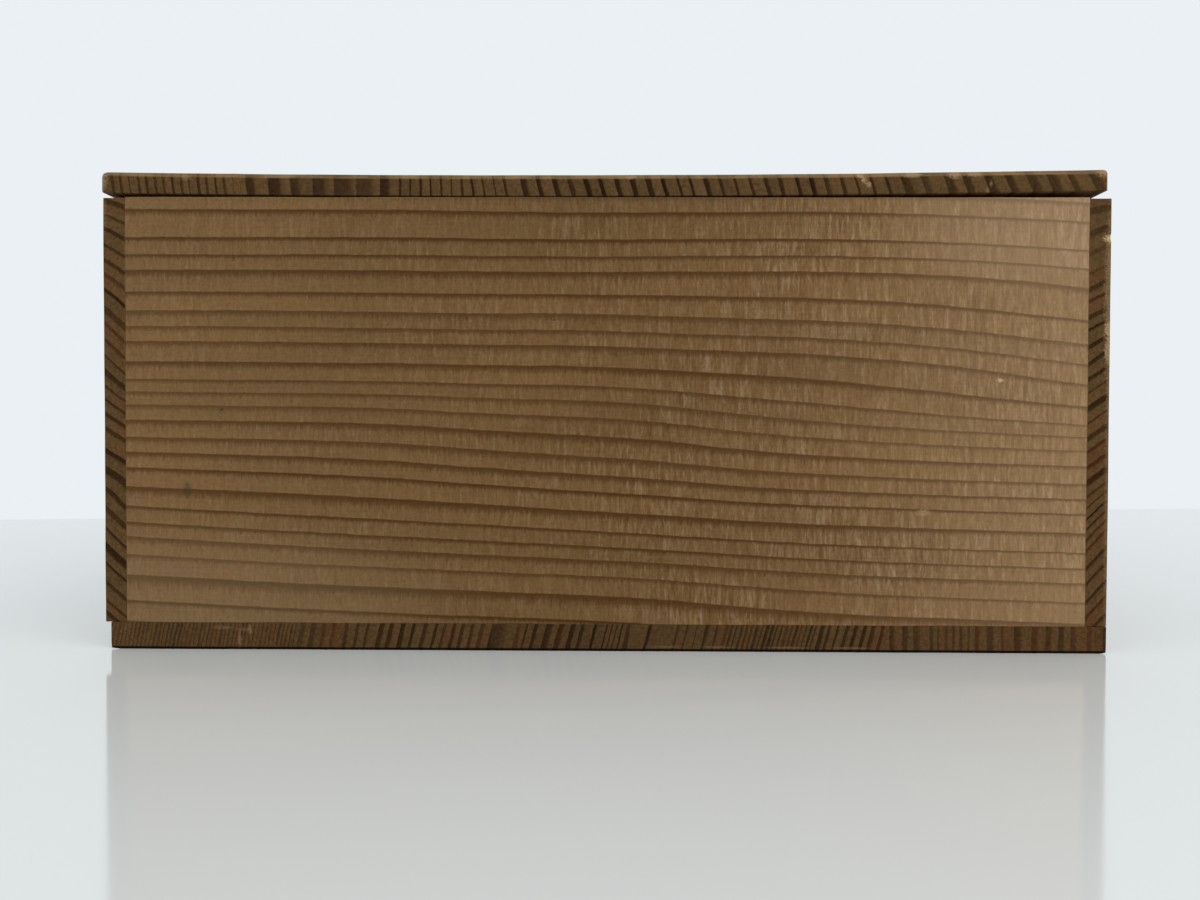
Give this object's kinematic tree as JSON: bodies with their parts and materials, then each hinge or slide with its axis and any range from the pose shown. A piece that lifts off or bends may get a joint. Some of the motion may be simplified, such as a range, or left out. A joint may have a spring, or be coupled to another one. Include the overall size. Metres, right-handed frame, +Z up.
{
  "type": "figure storage box",
  "caption": "Rectangular softwood storage box with pegged butt corners, a flat bottom board and a loose, slightly cupped board lid located by two cross battens.",
  "frame": {"origin": "middle of the footprint, on the surface that the box stands on", "axes": "+Z up; -Y towards the short end that the picture shows; +X to the right in the picture"},
  "size_m": [0.3337, 0.424, 0.16],
  "materials": {
    "wall_wood": "planed, bare, aged satin",
    "lid_wood": "planed, bare, aged satin",
    "bottom_wood": "planed, bare, matt",
    "batten_wood": "planed, bare, aged satin",
    "peg_wood": "smooth, burnished end grain"
  },
  "bodies": {
    "box": {"front_end_board": "wall_wood", "rear_end_board": "wall_wood", "left_side_board": "wall_wood", "right_side_board": "wall_wood", "bottom_main_plank": "bottom_wood", "bottom_edge_plank": "bottom_wood", "front_left_corner_pegs": "peg_wood", "front_right_corner_pegs": "peg_wood", "rear_left_corner_pegs": "peg_wood", "rear_right_corner_pegs": "peg_wood", "left_bottom_pegs": "peg_wood", "right_bottom_pegs": "peg_wood", "front_bottom_pegs": "peg_wood", "rear_bottom_pegs": "peg_wood"},
    "lid": {"lid_main_plank": "lid_wood", "lid_edge_plank": "lid_wood", "front_batten": "batten_wood", "rear_batten": "batten_wood", "front_batten_pegs": "peg_wood", "rear_batten_pegs": "peg_wood"}
  },
  "joints": [
    {"name": "lid_lift", "type": "slide", "parent": "box", "child": "lid", "axis": [0, 0, 1], "range_m": [0, 0.2]}
  ]
}
